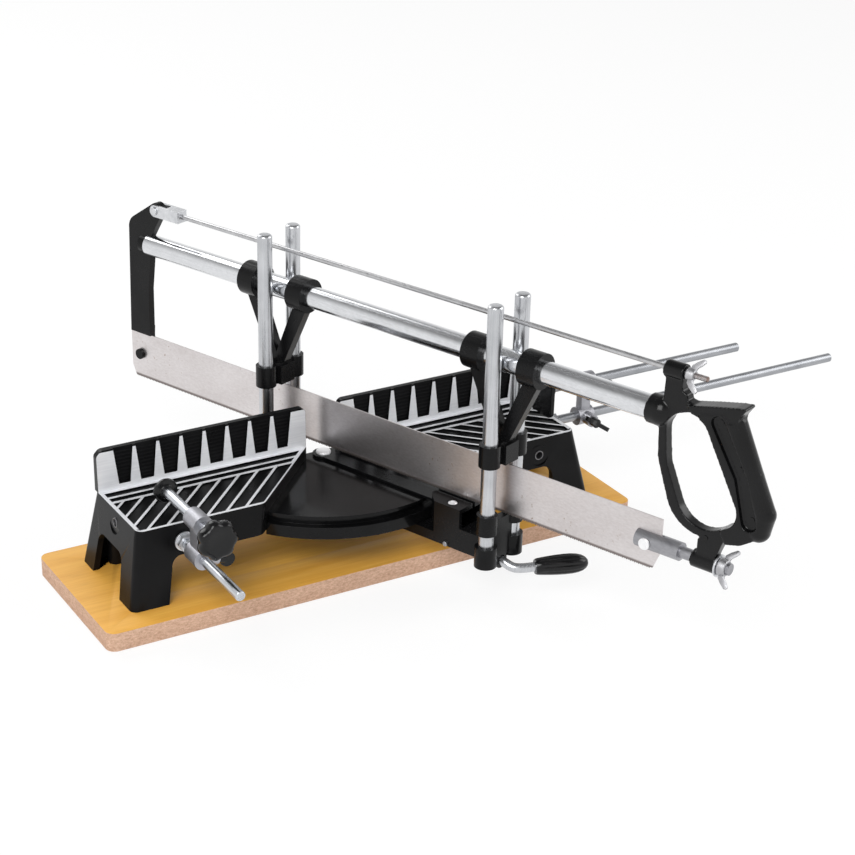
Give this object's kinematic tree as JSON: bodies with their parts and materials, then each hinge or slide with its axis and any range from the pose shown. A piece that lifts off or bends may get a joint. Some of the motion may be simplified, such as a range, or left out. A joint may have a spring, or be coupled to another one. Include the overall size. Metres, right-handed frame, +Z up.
{
  "type": "manual mitre saw",
  "caption": "Manual mitre saw: framed blade sliding in post guides on a swivel arm, over slotted fence tables on a wooden board, with work clamp and length stop.",
  "frame": {"origin": "on the underside of the board, below the swing pivot", "axes": "+X along the fence to the operator's right, +Y to the rear, +Z up"},
  "size_m": [0.747, 0.5988, 0.25],
  "materials": {
    "board": "laminated top",
    "casting": "semi-gloss black paint",
    "plastic": "moulded black",
    "chrome": "polished",
    "zinc": "zinc plated",
    "diecast": "raw die cast",
    "steel": "ground"
  },
  "bodies": {
    "bench": {"base_board": "board", "left_table": "casting", "left_legs": "casting", "left_fence": "casting", "right_table": "casting", "right_legs": "casting", "right_fence": "casting", "quadrant": "casting", "bench_screws": "zinc", "thread_inserts": "zinc", "clamp_rod": "zinc", "clamp_nut": "zinc", "stop_carrier": "zinc", "stop_nut": "zinc"},
    "arm": {"swivel_arm": "casting", "front_post_holder": "casting", "rear_post_holder": "casting", "pivot_rivet": "zinc", "bridge_screws": "zinc", "index_pin": "zinc", "front_posts": "chrome", "rear_posts": "chrome"},
    "lever": {"lock_lever": "chrome", "lever_grip": "plastic"},
    "front_guide": {"front_guide": "casting"},
    "rear_guide": {"rear_guide": "casting"},
    "saw": {"main_tube": "chrome", "rear_arm": "casting", "rear_blade_pin": "casting", "tension_rod": "zinc", "rod_clevis": "zinc", "clevis_pin": "zinc", "handle": "casting", "blade": "steel", "blade_holder": "zinc", "blade_bolt": "zinc", "bottom_washer": "zinc"},
    "top_wing_nut": {"top_wing_nut": "zinc"},
    "bottom_wing_nut": {"bottom_wing_nut": "zinc"},
    "clamp_link": {"clamp_link": "diecast"},
    "clamp_thumb_screw": {"clamp_thumb_screw": "plastic"},
    "clamp_pad": {"clamp_pad": "plastic"},
    "clamp_screw": {"clamp_screw": "zinc", "clamp_knob": "plastic"},
    "stop_link": {"stop_link": "diecast"},
    "stop_lower_thumb_screw": {"stop_lower_thumb_screw": "plastic"},
    "stop_upper_thumb_screw": {"stop_upper_thumb_screw": "plastic"},
    "stop_rod": {"stop_rod": "zinc", "stop_plate": "plastic"}
  },
  "joints": [
    {"name": "mitre_swing", "type": "hinge", "parent": "bench", "child": "arm", "pos_m": [0, 0, 0.066], "axis": [0, 0, 1], "range_deg": [-65.5, 24.5]},
    {"name": "front_lift", "type": "slide", "parent": "arm", "child": "front_guide", "axis": [0, 0, 1], "range_m": [0, 0.105]},
    {"name": "rear_lift", "type": "slide", "parent": "arm", "child": "rear_guide", "axis": [0, 0, 1], "range_m": [0, 0.105]},
    {"name": "saw_stroke", "type": "slide", "parent": "front_guide", "child": "saw", "axis": [-0.3502, 0.9367, 0], "range_m": [-0.1, 0.085]},
    {"name": "top_nut_turn", "type": "hinge", "parent": "saw", "child": "top_wing_nut", "pos_m": [0.11785, -0.31519, 0.235], "axis": [-0.3502, 0.9367, 0], "continuous": true},
    {"name": "bottom_nut_turn", "type": "hinge", "parent": "saw", "child": "bottom_wing_nut", "pos_m": [0.13203, -0.35313, 0.0975], "axis": [-0.3502, 0.9367, 0], "continuous": true},
    {"name": "lever_turn", "type": "hinge", "parent": "arm", "child": "lever", "pos_m": [0.06461, -0.17282, 0.034], "axis": [0.3502, -0.9367, 0], "range_deg": [0, 60]},
    {"name": "clamp_slide", "type": "slide", "parent": "bench", "child": "clamp_link", "axis": [0, -1, 0], "range_m": [-0.0105, 0.06]},
    {"name": "clamp_feed", "type": "slide", "parent": "clamp_link", "child": "clamp_pad", "axis": [0, -1, 0], "range_m": [-0.0145, 0.044]},
    {"name": "clamp_turn", "type": "hinge", "parent": "clamp_pad", "child": "clamp_screw", "pos_m": [-0.1615, -0.1, 0.0909], "axis": [0, -1, 0], "range_deg": [-4190, 12680]},
    {"name": "clamp_thumb_turn", "type": "hinge", "parent": "clamp_link", "child": "clamp_thumb_screw", "pos_m": [-0.1615, -0.1045, 0.0624], "axis": [0.9397, 0, -0.342], "continuous": true},
    {"name": "stop_slide", "type": "slide", "parent": "bench", "child": "stop_link", "axis": [1, 0, 0], "range_m": [-0.018, 0.255]},
    {"name": "stop_lower_thumb_turn", "type": "hinge", "parent": "stop_link", "child": "stop_lower_thumb_screw", "pos_m": [0.234, -0.035, 0.0674], "axis": [0, -1, 0], "continuous": true},
    {"name": "stop_upper_thumb_turn", "type": "hinge", "parent": "stop_link", "child": "stop_upper_thumb_screw", "pos_m": [0.234, -0.035, 0.0989], "axis": [0, -1, 0], "continuous": true},
    {"name": "stop_rod_slide", "type": "slide", "parent": "stop_link", "child": "stop_rod", "axis": [1, 0, 0], "range_m": [-0.14, 0.025]}
  ],
  "couplings": [
    {"joint": "rear_lift", "follows": "front_lift", "ratio": 1},
    {"joint": "clamp_turn", "follows": "clamp_feed", "rad_per_m": 5026.5}
  ]
}
